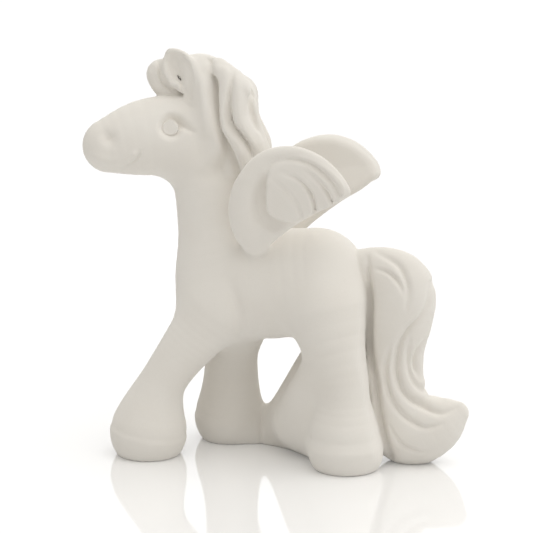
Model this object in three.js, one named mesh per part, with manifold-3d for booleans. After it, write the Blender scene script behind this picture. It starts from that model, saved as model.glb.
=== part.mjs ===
// A slip-cast bisque figurine of a pegasus foal that stands with its head turned to one side.
// It is made of separate castings that are luted together with slip.
// Millimetres, +Z up. The foal faces -X, its left side is towards -Y, and it stands on z = 0.
// Trunk, neck, head and legs are hollow and share one air space, and the tail's hollow opens into it.
// Ears, forelock, mane and wings are solid.
import * as THREE from 'three';
import { mergeVertices } from 'three/addons/utils/BufferGeometryUtils.js';
import Module from 'manifold-3d';

const wasm = await Module();
wasm.setup();

// Clay
const wall = 3.5; // thickness of the cast shells
const slipFilm = 0.3; // luting slip between two castings
const ventRadius = 2.2; // air hole in the belly, so that the hollow can be fired
const airwayRadius = 1.8; // hole from the tail's hollow into the trunk's
const clayColour = 0xece7dd;
const clayRoughness = 0.85;

// Trunk
const bellyHeight = 42.5; // floor to the underside of the barrel
const barrelRadius = 19.5;
const chestRadius = 18;
const rumpRadius = 18;
const chestForward = 10; // origin plane to the middle of the chest
const rumpBack = 22; // origin plane to the middle of the rump
const chestDrop = 1.5; // middle of the barrel down to the middle of the chest
const rumpRise = 3; // middle of the barrel up to the middle of the rump
const trunkFlatness = 0.9; // width over depth

// Neck and head
const neckLength = 36; // middle of the trunk to the turn of the throat
const neckLean = 7; // how far the neck comes forward over that length
const neckRadius = 12.8;
const neckFlatness = 0.92;
const craniumRadius = 14;
const craniumForward = 10.5; // ahead of the top of the neck
const craniumRise = 18.8; // above the top of the neck
const headLength = 25.7; // middle of the cranium to middle of the muzzle
const muzzleDrop = 3.8;
const muzzleRadius = 9.6;
const headFlatness = 0.88;
const headTurn = THREE.MathUtils.degToRad(25); // towards the foal's left
const headTilt = THREE.MathUtils.degToRad(12); // crown towards the foal's right

// Ears, forelock and mane
const earLength = 16.7;
const earRadius = 6.4;
const earFlatness = 0.5; // thickness over width
const earBack = 2.9; // middle of the cranium back to an ear's foot
const earSpread = 8; // middle of the head to the middle of an ear's foot
const earFoot = 11.3; // middle of the cranium up to an ear's foot
const earTurn = THREE.MathUtils.degToRad(42); // how far the cup faces forward from straight out
const earCupDepth = 2.1; // middle of an ear to the middle of what hollows it
const rightEarLean = 0.25; // how much further back the right ear leans, per height
const forelockRadius = 4.4;
const crestRadius = 6;
const crestFlatness = 1.25; // width over depth
const lockRadius = 3.2;
const hairLean = 2; // how far the mane's middle lies to the foal's right, as its head is turned away

// Wings
const wingHeight = 32; // foot of a wing to the top of its leading edge
const wingReach = 34; // the same foot to the tip
const wingForward = 3; // that foot is this far ahead of the middle of the barrel
const wingSink = 2.5; // and this far below the top of it
const wingSpread = 15; // middle of the trunk to a wing's foot
const wingFlare = 6; // how much further out the top is
const rightWingBack = 2.3; // the right wing is set this much further back
const rightWingDrop = 2; // and this much lower
const wingRollRadius = 5; // the leading edge, at the shoulder
const wingThickness = 5.6; // the sheet behind it
const wingHollow = 4.2; // radius of the hollow between the leading edge and the feathers

// Legs
const stance = 13.2; // middle of the trunk to the middle of a foot
const hipSpread = 8.5; // middle of the trunk to the middle of a leg's top
const leftForeStride = 26.8; // middle of the chest forward to the middle of the foot
const rightForeStride = 3.8;
const leftHindStride = 14; // middle of the rump back to the middle of the foot
const rightHindStride = -11.4;
const foreLegRadius = 8.8;
const hindLegRadius = 9.6;
const leftForeFootRadius = 13.9;
const rightForeFootRadius = 12.7;
const leftHindFootRadius = 13.9;
const rightHindFootRadius = 10.2;
const footHeight = 8.3; // floor to the widest part of a foot
const footBridgeRadius = 6; // clay that ties the two right feet together
const footJoint = -1.5; // where that clay is split between them
const hindWebRadius = 9.1; // clay that fills the space between the hind legs, at its foot
const hindWebFrom = 0.13; // that clay's ends, in shares of the way from the right leg to the left one
const hindWebTo = 0.61;

// Tail
const tailRadius = 12.4;
const tailTipReach = 34; // back of the rump to the tip of the tail
const tailTipHeight = 19.4;
const tailFlatness = 0.78;

// How softly one form runs into the next
const trunkBlend = 12;
const headBlend = 7;
const legBlend = 7;
const wingBlend = 3;
const hairBlend = 1.6;
const featherBlend = 0.8;

// Sizes of the triangles
const bodyCell = 4.8;
const hollowCell = 5.6;
const tailCell = 4.2;
const wingCell = 2.4;
const hairCell = 2.6;
const earCell = 2;

const LEFT = -1;
const RIGHT = 1;

// A form is a function of a point that gives the distance to its skin, negative inside.
// It carries the box that it lies in.
function form(distance, box) {
  distance.box = box;
  return distance;
}

// A tube of changing radius along a smooth curve through its stations [x, y, z, radius].
// Flatness is its width along Y over its depth, measured from the plane y = middle.
function limb(stations, flatness = 1, middle = 0) {
  const stepsPerStation = 4;
  const steps = (stations.length - 1) * stepsPerStation;
  const line = new THREE.CatmullRomCurve3(
    stations.map(([x, y, z]) => new THREE.Vector3(x, y, z)), false, 'catmullrom');
  const size = new THREE.CatmullRomCurve3(
    stations.map(([, , , r]) => new THREE.Vector3(r, 0, 0)), false, 'catmullrom');
  const beads = Array.from({ length: steps + 1 }, (_, i) => {
    const { x, y, z } = line.getPoint(i / steps);
    return { x, y: (y - middle) / flatness, z, r: size.getPoint(i / steps).x };
  });
  const box = new THREE.Box3();
  for (const b of beads) {
    const y = middle + b.y * flatness;
    box.expandByPoint(new THREE.Vector3(b.x - b.r, y - b.r, b.z - b.r));
    box.expandByPoint(new THREE.Vector3(b.x + b.r, y + b.r, b.z + b.r));
  }
  return form((x, y, z) => {
    const v = (y - middle) / flatness;
    let nearest = Infinity;
    for (let i = 0; i < steps; i++) {
      const a = beads[i];
      const b = beads[i + 1];
      const [dx, dy, dz] = [b.x - a.x, b.y - a.y, b.z - a.z];
      const along = ((x - a.x) * dx + (v - a.y) * dy + (z - a.z) * dz)
        / Math.max(dx * dx + dy * dy + dz * dz, 1e-9);
      const t = Math.min(1, Math.max(0, along));
      const qx = x - a.x - t * dx;
      const qy = v - a.y - t * dy;
      const qz = z - a.z - t * dz;
      const length = Math.hypot(qx, qy, qz);
      const stretch = length > 1e-6 ? Math.hypot(qx, qy / flatness, qz) / length : 1;
      nearest = Math.min(nearest, (length - a.r - t * (b.r - a.r)) / stretch);
    }
    return nearest;
  }, box);
}

// A slab with rounded edges. Its closed outline runs smoothly through points [x, z], and it lies from
// y = inner to y = outer.
function slab(outline, inner, outer, rounding) {
  const stepsPerPoint = 3;
  const loop = new THREE.CatmullRomCurve3(outline.map(([x, z]) => new THREE.Vector3(x, 0, z)), true, 'catmullrom')
    .getPoints(outline.length * stepsPerPoint);
  const box = new THREE.Box3().setFromPoints(loop);
  box.min.y = inner;
  box.max.y = outer;
  return form((x, y, z) => {
    let nearest = Infinity;
    let inside = false;
    loop.slice(1).forEach((b, i) => {
      const a = loop[i];
      const [dx, dz] = [b.x - a.x, b.z - a.z];
      const along = ((x - a.x) * dx + (z - a.z) * dz) / (dx * dx + dz * dz);
      const t = Math.min(1, Math.max(0, along));
      nearest = Math.min(nearest, Math.hypot(x - a.x - t * dx, z - a.z - t * dz));
      if (a.z > z !== b.z > z && x < a.x + (z - a.z) * dx / dz) inside = !inside;
    });
    const edge = (inside ? -nearest : nearest) + rounding;
    const face = Math.abs(y - (inner + outer) / 2) - (outer - inner) / 2 + rounding;
    return Math.hypot(Math.max(edge, 0), Math.max(face, 0)) + Math.min(Math.max(edge, face), 0) - rounding;
  }, box);
}

// Forms run into each other over a smooth fillet about as wide as softness.
function blend(softness, ...forms) {
  const box = forms.reduce((all, f) => all.union(f.box), new THREE.Box3());
  return form((x, y, z) => forms.reduce((d, f) => {
    const e = f(x, y, z);
    const near = Math.max(softness - Math.abs(d - e), 0) / softness;
    return Math.min(d, e) - near * near * softness / 4;
  }, 1e3), box);
}

// The first form with the second cut out of it.
function carve(body, tool) {
  return form((x, y, z) => Math.max(body(x, y, z), -tool(x, y, z)), body.box);
}

// A form that was made in a frame of its own, where that frame stands.
function placed(shape, frame) {
  const back = frame.clone().invert();
  const p = new THREE.Vector3();
  return form((x, y, z) => {
    p.set(x, y, z).applyMatrix4(back);
    return shape(p.x, p.y, p.z);
  }, shape.box.clone().applyMatrix4(frame));
}

// Where the four corners of a grid face lie in and out by turns, the skin could pass either way.
// The corner nearest to the skin changes side there, until no such face is left.
function settle(values, strides, cell) {
  const faces = strides.map((stride, axis) => [stride, strides[(axis + 1) % 3]]);
  const alternates = (ring) => ring.every((c, i) => (values[c] < 0) !== (values[ring[(i + 1) % 4]] < 0));
  for (let changed = true; changed;) {
    changed = false;
    for (const [u, w] of faces)
      for (let here = 0; here < values.length - u - w; here++) {
        const ring = [here, here + u, here + u + w, here + w];
        if (!alternates(ring)) continue;
        const nearest = ring.reduce((a, b) => (Math.abs(values[a]) < Math.abs(values[b]) ? a : b));
        values[nearest] = (values[nearest] < 0 ? 1 : -1) * cell * 0.05;
        changed = true;
      }
  }
}

// Turns a form's skin, or the one that lies offset outside it, into a closed mesh: one vertex in
// each cell that the skin crosses, and one quad round each grid edge that it crosses.
function skin(shape, cell, offset = 0) {
  const low = shape.box.min.clone().subScalar(Math.max(offset, 0) + 2 * cell);
  const span = shape.box.max.clone().addScalar(Math.max(offset, 0) + 2 * cell).sub(low);
  const [nx, ny, nz] = [span.x, span.y, span.z].map((s) => Math.ceil(s / cell) + 1);
  const at = (i, j, k) => (k * ny + j) * nx + i;
  const values = new Float32Array(nx * ny * nz);
  for (let k = 0; k < nz; k++)
    for (let j = 0; j < ny; j++)
      for (let i = 0; i < nx; i++)
        values[at(i, j, k)] = shape(low.x + i * cell, low.y + j * cell, low.z + k * cell) - offset;
  const strides = [at(1, 0, 0), at(0, 1, 0), at(0, 0, 1)];
  settle(values, strides, cell);

  const corners = [0, 1, 2, 3, 4, 5, 6, 7].map((c) => [c & 1, (c >> 1) & 1, c >> 2]);
  const edges = corners.flatMap((_, a) => [1, 2, 4].filter((bit) => !(a & bit)).map((bit) => [a, a | bit]));
  const vertexOf = new Map();
  const positions = [];
  for (let k = 0; k < nz - 1; k++)
    for (let j = 0; j < ny - 1; j++)
      for (let i = 0; i < nx - 1; i++) {
        const v = corners.map(([a, b, c]) => values[at(i + a, j + b, k + c)]);
        const crossed = edges.filter(([a, b]) => (v[a] < 0) !== (v[b] < 0));
        if (!crossed.length) continue;
        const middle = new THREE.Vector3();
        for (const [a, b] of crossed) {
          const t = v[a] / (v[a] - v[b]);
          middle.add(new THREE.Vector3(...corners[a]).lerp(new THREE.Vector3(...corners[b]), t));
        }
        middle.divideScalar(crossed.length).add(new THREE.Vector3(i, j, k)).multiplyScalar(cell).add(low);
        vertexOf.set(at(i, j, k), positions.length / 3);
        positions.push(middle.x, middle.y, middle.z);
      }

  const index = [];
  for (let k = 1; k < nz - 1; k++)
    for (let j = 1; j < ny - 1; j++)
      for (let i = 1; i < nx - 1; i++)
        strides.forEach((stride, axis) => {
          const here = at(i, j, k);
          const inside = values[here] < 0;
          if (inside === values[here + stride] < 0) return;
          const [u, w] = [strides[(axis + 1) % 3], strides[(axis + 2) % 3]];
          const ring = [here - u - w, here - w, here, here - u].map((c) => vertexOf.get(c));
          const [a, b, c, d] = inside ? ring : [...ring].reverse();
          index.push(a, b, c, a, c, d);
        });
  const geometry = new THREE.BufferGeometry();
  geometry.setAttribute('position', new THREE.Float32BufferAttribute(positions, 3));
  geometry.setIndex(index);
  return geometry;
}

function solid(geometry) {
  const bare = geometry.clone();
  bare.deleteAttribute('normal');
  bare.deleteAttribute('uv');
  const merged = mergeVertices(bare);
  return new wasm.Manifold(new wasm.Mesh({
    numProp: 3,
    vertProperties: new Float32Array(merged.attributes.position.array),
    triVerts: new Uint32Array(merged.index.array),
  }));
}

// The same skin pushed outwards by a distance, for clearing a seat in a neighbour.
function grown(geometry, distance) {
  const pushed = geometry.clone();
  pushed.computeVertexNormals();
  const { position, normal } = pushed.attributes;
  for (let i = 0; i < position.count; i++) {
    position.setXYZ(i,
      position.getX(i) + normal.getX(i) * distance,
      position.getY(i) + normal.getY(i) * distance,
      position.getZ(i) + normal.getZ(i) * distance);
  }
  return solid(pushed);
}

function largest(body) {
  return body.decompose().reduce((a, b) => (a.volume() > b.volume() ? a : b));
}

// What lies on a plane's far side, where its normal points, less half the slip in the joint.
function beyond(body, through, normal) {
  const n = new THREE.Vector3(...normal).normalize();
  return body.trimByPlane(n.toArray(), n.dot(new THREE.Vector3(...through)) + slipFilm / 2);
}

function rod(radius, from, to) {
  const sides = 16;
  const [a, b] = [new THREE.Vector3(...from), new THREE.Vector3(...to)];
  const along = b.clone().sub(a);
  const geometry = new THREE.CylinderGeometry(radius, radius, along.length(), sides);
  geometry.applyQuaternion(new THREE.Quaternion().setFromUnitVectors(
    new THREE.Vector3(0, 1, 0), along.clone().normalize()));
  geometry.translate(...a.add(b).multiplyScalar(0.5).toArray());
  return solid(geometry);
}

// Trunk and neck. The landmarks that other pieces are placed from come first.
const trunkZ = bellyHeight + barrelRadius;
const chestZ = trunkZ - chestDrop;
const rumpZ = trunkZ + rumpRise;
const barrelX = (rumpBack - chestForward) / 2;
const rumpEnd = rumpBack + rumpRadius;
const neckTop = [-chestForward - neckLean, 0, chestZ + neckLength];

const trunk = limb([
  [-chestForward, 0, chestZ, chestRadius],
  [barrelX, 0, trunkZ, barrelRadius],
  [rumpBack, 0, rumpZ, rumpRadius],
], trunkFlatness);
const neck = limb([
  [-chestForward * 1.1, 0, trunkZ, chestRadius * 0.86],
  [-chestForward - neckLean * 0.7, 0, chestZ + neckLength * 0.5, neckRadius * 1.04],
  [...neckTop, neckRadius],
  [neckTop[0] - craniumForward * 0.5, 0, neckTop[2] + craniumRise * 0.55, neckRadius * 0.92],
], neckFlatness);

// Head, in a frame of its own with the middle of the cranium at its origin.
const headFrame = new THREE.Object3D();
headFrame.rotation.set(-headTilt, 0, headTurn, 'ZYX');
headFrame.position.set(neckTop[0] - craniumForward, 0, neckTop[2] + craniumRise);
headFrame.updateMatrix();
const onHead = ([x, y, z, r]) => [
  ...new THREE.Vector3(x, y, z).applyMatrix4(headFrame.matrix).toArray(), r];
const head = placed(limb([
  [0, 0, 0, craniumRadius],
  [-headLength * 0.5, 0, -muzzleDrop * 0.35, craniumRadius * 0.96],
  [-headLength, 0, -muzzleDrop, muzzleRadius],
], headFlatness), headFrame.matrix);

// A leg from its top, which sits in the trunk at a share of the barrel's radius below its middle, to
// its foot. Each row of its shape gives the share of the way down, and then in leg radii how far the
// middle is bowed forward (-) or back (+) there and how thick the leg is.
function leg({ side, topX, sink, footX, radius, footRadius, shape }) {
  const topZ = trunkZ - sink * barrelRadius;
  const rows = shape.map(([share, bow, thick]) => [share, bow * radius, thick * radius]);
  return [...rows, [1, 0, footRadius]].map(([share, bow, r]) => [
    topX + (footX - topX) * share + bow,
    side * (hipSpread + (stance - hipSpread) * Math.min(1, 2 * share)),
    topZ + (footHeight - topZ) * share,
    r,
  ]);
}
const legs = {
  left_foreleg: leg({
    side: LEFT, topX: -chestForward * 1.38, sink: 0.46, footX: -chestForward - leftForeStride,
    radius: foreLegRadius, footRadius: leftForeFootRadius,
    shape: [
      [0, 0.11, 1.31], [0.2, -0.14, 1.14], [0.38, -0.34, 0.99], [0.56, -0.45, 0.94], [0.72, -0.4, 1.1],
      [0.89, -0.19, 1.39],
    ],
  }),
  right_foreleg: leg({
    side: RIGHT, topX: -chestForward * 0.9, sink: 0.67, footX: -chestForward - rightForeStride,
    radius: foreLegRadius, footRadius: rightForeFootRadius,
    shape: [[0, 0, 1.42], [0.35, -0.23, 1.06], [0.6, -0.18, 1.07], [0.8, -0.09, 1.2]],
  }),
  left_hind_leg: leg({
    side: LEFT, topX: rumpBack * 1.28, sink: 0.36, footX: rumpBack + leftHindStride,
    radius: hindLegRadius, footRadius: leftHindFootRadius,
    shape: [[0, 0, 1.47], [0.4, 0.26, 1.05], [0.68, 0.21, 0.98]],
  }),
  right_hind_leg: leg({
    side: RIGHT, topX: rumpBack * 1.16, sink: 0.56, footX: rumpBack + rightHindStride,
    radius: hindLegRadius, footRadius: rightHindFootRadius,
    shape: [[0, 0, 1.35], [0.35, 0.55, 1.02], [0.65, 0.33, 1.01]],
  }),
};
const footBridge = limb([
  [-chestForward - rightForeStride, stance * 0.92, footHeight * 0.3, footBridgeRadius],
  [rumpBack + rightHindStride, stance * 0.92, footHeight * 0.3, footBridgeRadius],
]);
const middleOf = (rows) => new THREE.CatmullRomCurve3(
  rows.map(([x, y, z]) => new THREE.Vector3(x, y, z)), false, 'catmullrom');
const [hindLeft, hindRight] = [middleOf(legs.left_hind_leg), middleOf(legs.right_hind_leg)];
const hindWeb = [0.4, 0.55, 0.7, 0.85, 1].map((share) => limb([hindWebFrom, hindWebTo].map((across) => [
  ...hindRight.getPoint(share).lerp(hindLeft.getPoint(share), across).toArray(),
  hindWebRadius * (0.8 + 0.2 * share),
])));

const core = blend(legBlend,
  blend(headBlend, blend(trunkBlend, trunk, neck), head),
  ...Object.values(legs).map((rows) => limb(rows)), footBridge, ...hindWeb);

// Tail: it leaves the rump, falls to the floor and turns up at its tip.
const tail = limb([
  [rumpEnd - tailRadius * 0.17, 0, rumpZ + tailRadius * 0.5, tailRadius * 0.45],
  [rumpEnd + tailRadius * 0.5, 0, rumpZ + tailRadius * 0.25, tailRadius * 0.75],
  [rumpEnd + tailRadius * 0.97, 0, rumpZ - tailRadius * 0.2, tailRadius],
  [rumpEnd + tailRadius * 0.97, 0, rumpZ - tailRadius * 1.06, tailRadius * 1.02],
  [rumpEnd + tailRadius * 0.9, 0, rumpZ - tailRadius * 2.08, tailRadius * 0.9],
  [rumpEnd + tailRadius * 0.9, 0, tailTipHeight + tailRadius * 0.6, tailRadius * 0.95],
  [rumpEnd + tailRadius * 1.23, 0, tailRadius * 0.95, tailRadius * 1.03],
  [rumpEnd + tailTipReach * 0.7, 0, tailTipHeight * 0.64, tailRadius * 0.88],
  [rumpEnd + tailTipReach, 0, tailTipHeight * 0.92, tailRadius * 0.36],
], tailFlatness);

// A wing: a sheet with a rolled leading edge, and on it a raised fan of feathers with a hollow between
// the two. Rows are placed by shares of the wing's reach and height from its foot, and in a frame that
// leans out with the wing, where y = 0 is the middle of the sheet.
function wing(side) {
  const right = side === RIGHT ? 1 : 0;
  const footX = barrelX - wingForward + right * rightWingBack;
  const footZ = trunkZ + barrelRadius - wingSink - right * rightWingDrop;
  const outAt = (z) => wingSpread
    + wingFlare * THREE.MathUtils.clamp(1.3 * (z - footZ) / wingHeight, -0.2, 1);
  const point = ([along, up]) => [footX + wingReach * along, footZ + wingHeight * up];
  const tube = (rows, scale, flatness) => limb(rows.map(([along, up, out, thick]) => {
    const [x, z] = point([along, up]);
    return [x, out * wingThickness, z, thick * scale];
  }), flatness);

  const sheet = slab([
    [-0.15, 0.04], [-0.23, 0.35], [-0.21, 0.52], [-0.09, 0.81], [0.13, 1.06], [0.42, 1.13], [0.73, 1.03],
    [0.96, 0.8], [1.02, 0.65], [0.85, 0.5], [0.53, 0.31], [0.26, 0.02], [0.09, -0.17],
  ].map(point), -0.55 * wingThickness, 0.43 * wingThickness, 0.43 * wingThickness);
  const roll = tube([
    [0.1, -0.08, -0.25, 0.92], [-0.03, 0.06, -0.1, 1], [-0.07, 0.25, 0, 1.04], [-0.08, 0.44, 0, 1],
    [0.06, 0.81, 0, 0.78], [0.35, 1.04, 0.14, 0.46], [0.72, 0.99, 0.23, 0.36], [0.99, 0.66, 0.18, 0.3],
  ], wingRollRadius, 0.8);
  const hollow = tube([
    [0.12, 0.81, 0.95, 0.8], [0.1, 0.64, 0.79, 1], [0.1, 0.47, 0.66, 1], [0.15, 0.31, 0.66, 1],
    [0.28, 0.24, 0.79, 0.9], [0.41, 0.23, 0.95, 0.7],
  ], wingHollow, 1);
  const fan = slab([
    [0.19, 0.75], [0.18, 0.58], [0.19, 0.42], [0.28, 0.33], [0.43, 0.31], [0.67, 0.41], [0.95, 0.59],
    [1, 0.73], [0.74, 0.99], [0.37, 1.03],
  ].map(point), -0.43 * wingThickness, 0.55 * wingThickness, 0.16 * wingThickness);
  const upright = blend(featherBlend, carve(blend(wingBlend, sheet, roll), hollow), fan);
  const ends = [outAt(-Infinity) - wingThickness, outAt(Infinity) + wingThickness];
  const box = upright.box.clone();
  [box.min.y, box.max.y] = ends.map((end) => side * end).sort((one, two) => one - two);
  return form((x, y, z) => upright(x, side * y - outAt(z), z), box);
}

// Hair and ears. On the head, hair is placed by shares of the cranium's radius from its middle.
function ear(side) {
  const frame = new THREE.Object3D();
  frame.position.set(earBack, side * earSpread, earFoot);
  frame.rotation.z = side * earTurn;
  frame.updateMatrix();
  frame.matrix.premultiply(headFrame.matrix);
  const lean = side === RIGHT ? rightEarLean : 0;
  const row = ([share, forward, thick], front = 0) => [
    (0.04 + lean * share - 0.28 * forward) * earLength,
    side * (0.234 * forward * earLength + front),
    share * earLength,
    thick * earRadius,
  ];
  const leaf = limb([
    [0, 0, 0.5], [0.25, 0.09, 0.7], [0.42, 0.3, 0.95], [0.64, 0.53, 1], [0.86, 0.77, 0.9], [1, 1, 0.45],
  ].map((shape) => row(shape)), earFlatness);
  const cup = limb([
    [0.25, 0.09, 0.4], [0.42, 0.3, 0.62], [0.64, 0.56, 0.7], [0.85, 0.82, 0.58], [0.99, 1.03, 0.25],
  ].map((shape) => row(shape, earCupDepth)), earFlatness * 1.2);
  return placed(carve(leaf, cup), frame.matrix);
}
const hairOnHead = (x, y, z, radius) => onHead([x * craniumRadius, y * craniumRadius, z * craniumRadius, radius]);
const forelock = limb([
  hairOnHead(0.29, 0, 1.36, forelockRadius),
  hairOnHead(-0.29, 0, 1.54, forelockRadius),
  hairOnHead(-0.57, 0, 1.29, forelockRadius),
  hairOnHead(-0.39, 0, 1, forelockRadius),
  hairOnHead(0, 0, 0.93, forelockRadius),
]);

// The mane is placed from the top of the neck: how far back and out in shares of the cranium's radius,
// and how far up in shares of the way from there to the crown.
const crownRise = craniumRise + craniumRadius;
const hairOnNeck = (back, out, up, radius) => [
  neckTop[0] + back * craniumRadius, out * craniumRadius, neckTop[2] + up * crownRise, radius];
const crest = limb([
  [-0.5, 0.14, 1.27, 0.7], [-0.14, 0.18, 1.25, 0.77], [0.29, 0.18, 1.17, 0.93], [0.71, 0.14, 0.98, 1.03],
  [0.82, 0.11, 0.75, 1], [0.96, 0.07, 0.53, 0.97], [1.11, 0.04, 0.32, 0.9], [1.34, 0, 0.09, 0.68],
].map(([back, out, up, thick]) => hairOnNeck(back, out, up, thick * crestRadius)), crestFlatness, hairLean);
const nape = limb([
  [0.07, -0.07, 1.05, 1], [0.25, -0.11, 0.81, 1.03], [0.39, -0.14, 0.53, 1.07], [0.64, -0.14, 0.23, 1.03],
].map(([back, out, up, thick]) => hairOnNeck(back, out, up, thick * crestRadius)));
const pollLock = limb([
  [-0.29, 0.07, 1.25, 1.25], [-0.03, -0.13, 1.1, 1.45], [0.06, -0.27, 0.9, 1.5],
  [0.09, -0.39, 0.69, 1.5], [0.14, -0.36, 0.44, 1.45],
].map(([back, out, up, thick]) => hairOnNeck(back, out, up, thick * lockRadius)));
const frontLock = [
  [0.12, -0.09, 1.27, 1.22], [0.46, -0.34, 1.19, 1.22], [0.54, -0.45, 1.02, 1.22], [0.56, -0.48, 0.85, 1.16],
  [0.62, -0.49, 0.72, 1.13], [0.81, -0.51, 0.58, 1.19], [1.03, -0.49, 0.43, 1.22], [1.12, -0.45, 0.27, 1.16],
];
const middleLock = [
  [0.21, 0, 1.28, 1.31], [0.68, -0.17, 1.19, 1.34], [0.86, -0.35, 1.07, 1.31], [0.89, -0.42, 0.93, 1.25],
  [0.94, -0.44, 0.78, 1.19], [1.09, -0.44, 0.66, 1.13], [1.26, -0.41, 0.52, 1.1], [1.34, -0.39, 0.38, 0.95],
];
const backLock = [
  [0.54, 0.14, 1.2, 1.16], [0.93, 0.04, 1.05, 1.13], [1.04, -0.11, 0.93, 1.06], [1.11, -0.18, 0.76, 1.06],
  [1.26, -0.2, 0.58, 1.03], [1.43, -0.19, 0.41, 0.94],
];
const lock = (rows) => limb(rows.map(([back, out, up, thick]) => hairOnNeck(back, out, up, thick * lockRadius)));
// The same lock on the other side of the mane's middle, where it lies a little closer to the neck.
const across = (rows) => rows.map(([back, out, up, thick]) => [
  back - 0.07, 1.5 * hairLean / craniumRadius - out, up, thick]);
const mane = blend(hairBlend, crest, nape, pollLock,
  ...[frontLock, middleLock, backLock, across(frontLock), across(middleLock)].map(lock));

// The shell that the body's castings are cut from: skin outside, hollow inside, floor in each foot.
const coreSkin = skin(core, bodyCell);
const hollow = largest(solid(skin(core, hollowCell, -wall)).trimByPlane([0, 0, 1], wall));
const airway = rod(airwayRadius,
  [rumpBack, 0, rumpZ + rumpRadius * 0.22], [rumpEnd + tailRadius * 0.97, 0, rumpZ + tailRadius * 0.17]);
const shell = solid(coreSkin).trimByPlane([0, 0, 1], 0)
  .subtract(hollow)
  .subtract(rod(ventRadius, [barrelX, 0, bellyHeight - wall], [barrelX, 0, trunkZ]))
  .subtract(airway);

// Luting planes
const throat = [[neckTop[0] + neckRadius * 0.16, 0, neckTop[2] + neckRadius * 0.62], [-1, 0, 1]];
const neckFoot = [[-chestForward * 1.2, 0, chestZ + neckLength * 0.5], [-0.42, 0, 0.91]];
const groin = trunkZ - barrelRadius * 1.33; // the four legs' planes meet here under the trunk
const legPlane = (side) => [[0, 0, groin], [0, side * 0.42, -0.91]];
const facing = ([through, normal]) => [through, normal.map((n) => -n)];

const castings = {};
castings.head = beyond(shell, ...throat);
const headless = beyond(shell, ...facing(throat));
castings.neck = beyond(headless, ...neckFoot);
const body = beyond(headless, ...facing(neckFoot));
castings.torso = [LEFT, RIGHT].reduce((rest, side) => beyond(rest, ...facing(legPlane(side))), body);
for (const name of Object.keys(legs)) {
  const side = name.startsWith('left') ? LEFT : RIGHT;
  const end = name.endsWith('foreleg') ? -1 : 1;
  const pair = beyond(beyond(body, ...legPlane(side)), [0, 0, 0], [0, side, 0]);
  castings[name] = largest(beyond(pair, [footJoint, 0, footHeight], [end, 0, -0.2 * end]));
}

// What is luted onto the body is cut away where it would lie in the body or in what was set before.
const seats = [grown(coreSkin, slipFilm)];
function seated(shape, cell) {
  const outer = skin(shape, cell);
  const body = largest(seats.reduce((rest, seat) => rest.subtract(seat), solid(outer)));
  seats.push(grown(outer, slipFilm));
  return body;
}
castings.tail = largest(seated(tail, tailCell)
  .trimByPlane([0, 0, 1], 0)
  .subtract(largest(solid(skin(tail, tailCell, -wall)).trimByPlane([0, 0, 1], wall)))
  .subtract(airway));
castings.left_wing = seated(wing(LEFT), wingCell);
castings.right_wing = seated(wing(RIGHT), wingCell);
castings.left_ear = seated(ear(LEFT), earCell);
castings.right_ear = seated(ear(RIGHT), earCell);
castings.mane = seated(mane, hairCell);
castings.forelock = seated(forelock, hairCell);

const figurine = new THREE.Group();
for (const [name, body] of Object.entries(castings)) {
  const { numProp, numVert, vertProperties, triVerts } = body.getMesh();
  const positions = new Float32Array(numVert * 3);
  for (let i = 0; i < numVert; i++) {
    positions.set(vertProperties.subarray(i * numProp, i * numProp + 3), i * 3);
  }
  const geometry = new THREE.BufferGeometry();
  geometry.setAttribute('position', new THREE.BufferAttribute(positions, 3));
  geometry.setIndex(new THREE.BufferAttribute(triVerts, 1));
  const clay = new THREE.MeshStandardMaterial({ color: clayColour, roughness: clayRoughness, metalness: 0 });
  const mesh = new THREE.Mesh(geometry, clay);
  mesh.name = name;
  figurine.add(mesh);
}

// The origin is under the middle of the whole figurine, on the floor.
const whole = new THREE.Box3().setFromObject(figurine);
const centre = whole.getCenter(new THREE.Vector3());
figurine.position.set(-centre.x, -centre.y, -whole.min.z);

export default figurine;
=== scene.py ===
# A slip-cast bisque figurine of a pegasus foal on a pale glossy table.
# All castings are modelled as one block of clay, so that their luted joints are smooth as in the
# photograph. The skin is then parted into one piece for each casting and each solid sprig.
import math

import bpy
import numpy as np
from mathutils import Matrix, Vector


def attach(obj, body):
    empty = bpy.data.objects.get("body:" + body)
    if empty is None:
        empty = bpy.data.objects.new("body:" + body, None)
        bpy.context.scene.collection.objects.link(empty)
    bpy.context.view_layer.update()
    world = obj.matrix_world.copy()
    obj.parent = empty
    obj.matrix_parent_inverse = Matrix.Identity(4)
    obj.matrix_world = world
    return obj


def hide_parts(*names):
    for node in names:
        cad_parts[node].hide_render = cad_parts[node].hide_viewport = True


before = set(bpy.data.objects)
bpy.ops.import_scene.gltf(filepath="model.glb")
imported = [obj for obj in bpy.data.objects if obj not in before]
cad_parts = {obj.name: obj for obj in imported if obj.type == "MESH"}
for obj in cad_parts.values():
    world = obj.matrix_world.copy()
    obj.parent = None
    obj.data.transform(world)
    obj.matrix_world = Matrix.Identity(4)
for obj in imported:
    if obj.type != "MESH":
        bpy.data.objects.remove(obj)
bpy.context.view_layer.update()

# Sculpting happens in millimetres. This is where the shared frame's origin lies in the sculpting frame.
ORIGIN = np.array([8.407, -0.731, 0.0])
MM = 0.001
LEFT, RIGHT = -1, 1

# The block of clay: its corners, the size of its cells, and how far round a form it is worked
CLAY_LOW, CLAY_HIGH = [-74, -32, -3], [82, 32, 150]
CELL = 0.6
ADD_MARGIN, CUT_MARGIN = 12, 2
FAR = 1000.0

# Fine marks: the depth that a face is split from, and the step that slopes are measured over
SPLIT_FROM, SLOPE_STEP = 0.02, 0.04

# How deep in the clay the lids over a piece's cuts lie
LID_DEPTH = 1.5

# The forms that a place in the clay can belong to
BODY, TAIL_HAIR, LEFT_WING, RIGHT_WING, LEFT_EAR, RIGHT_EAR, MANE, FORELOCK = range(1, 9)


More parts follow.
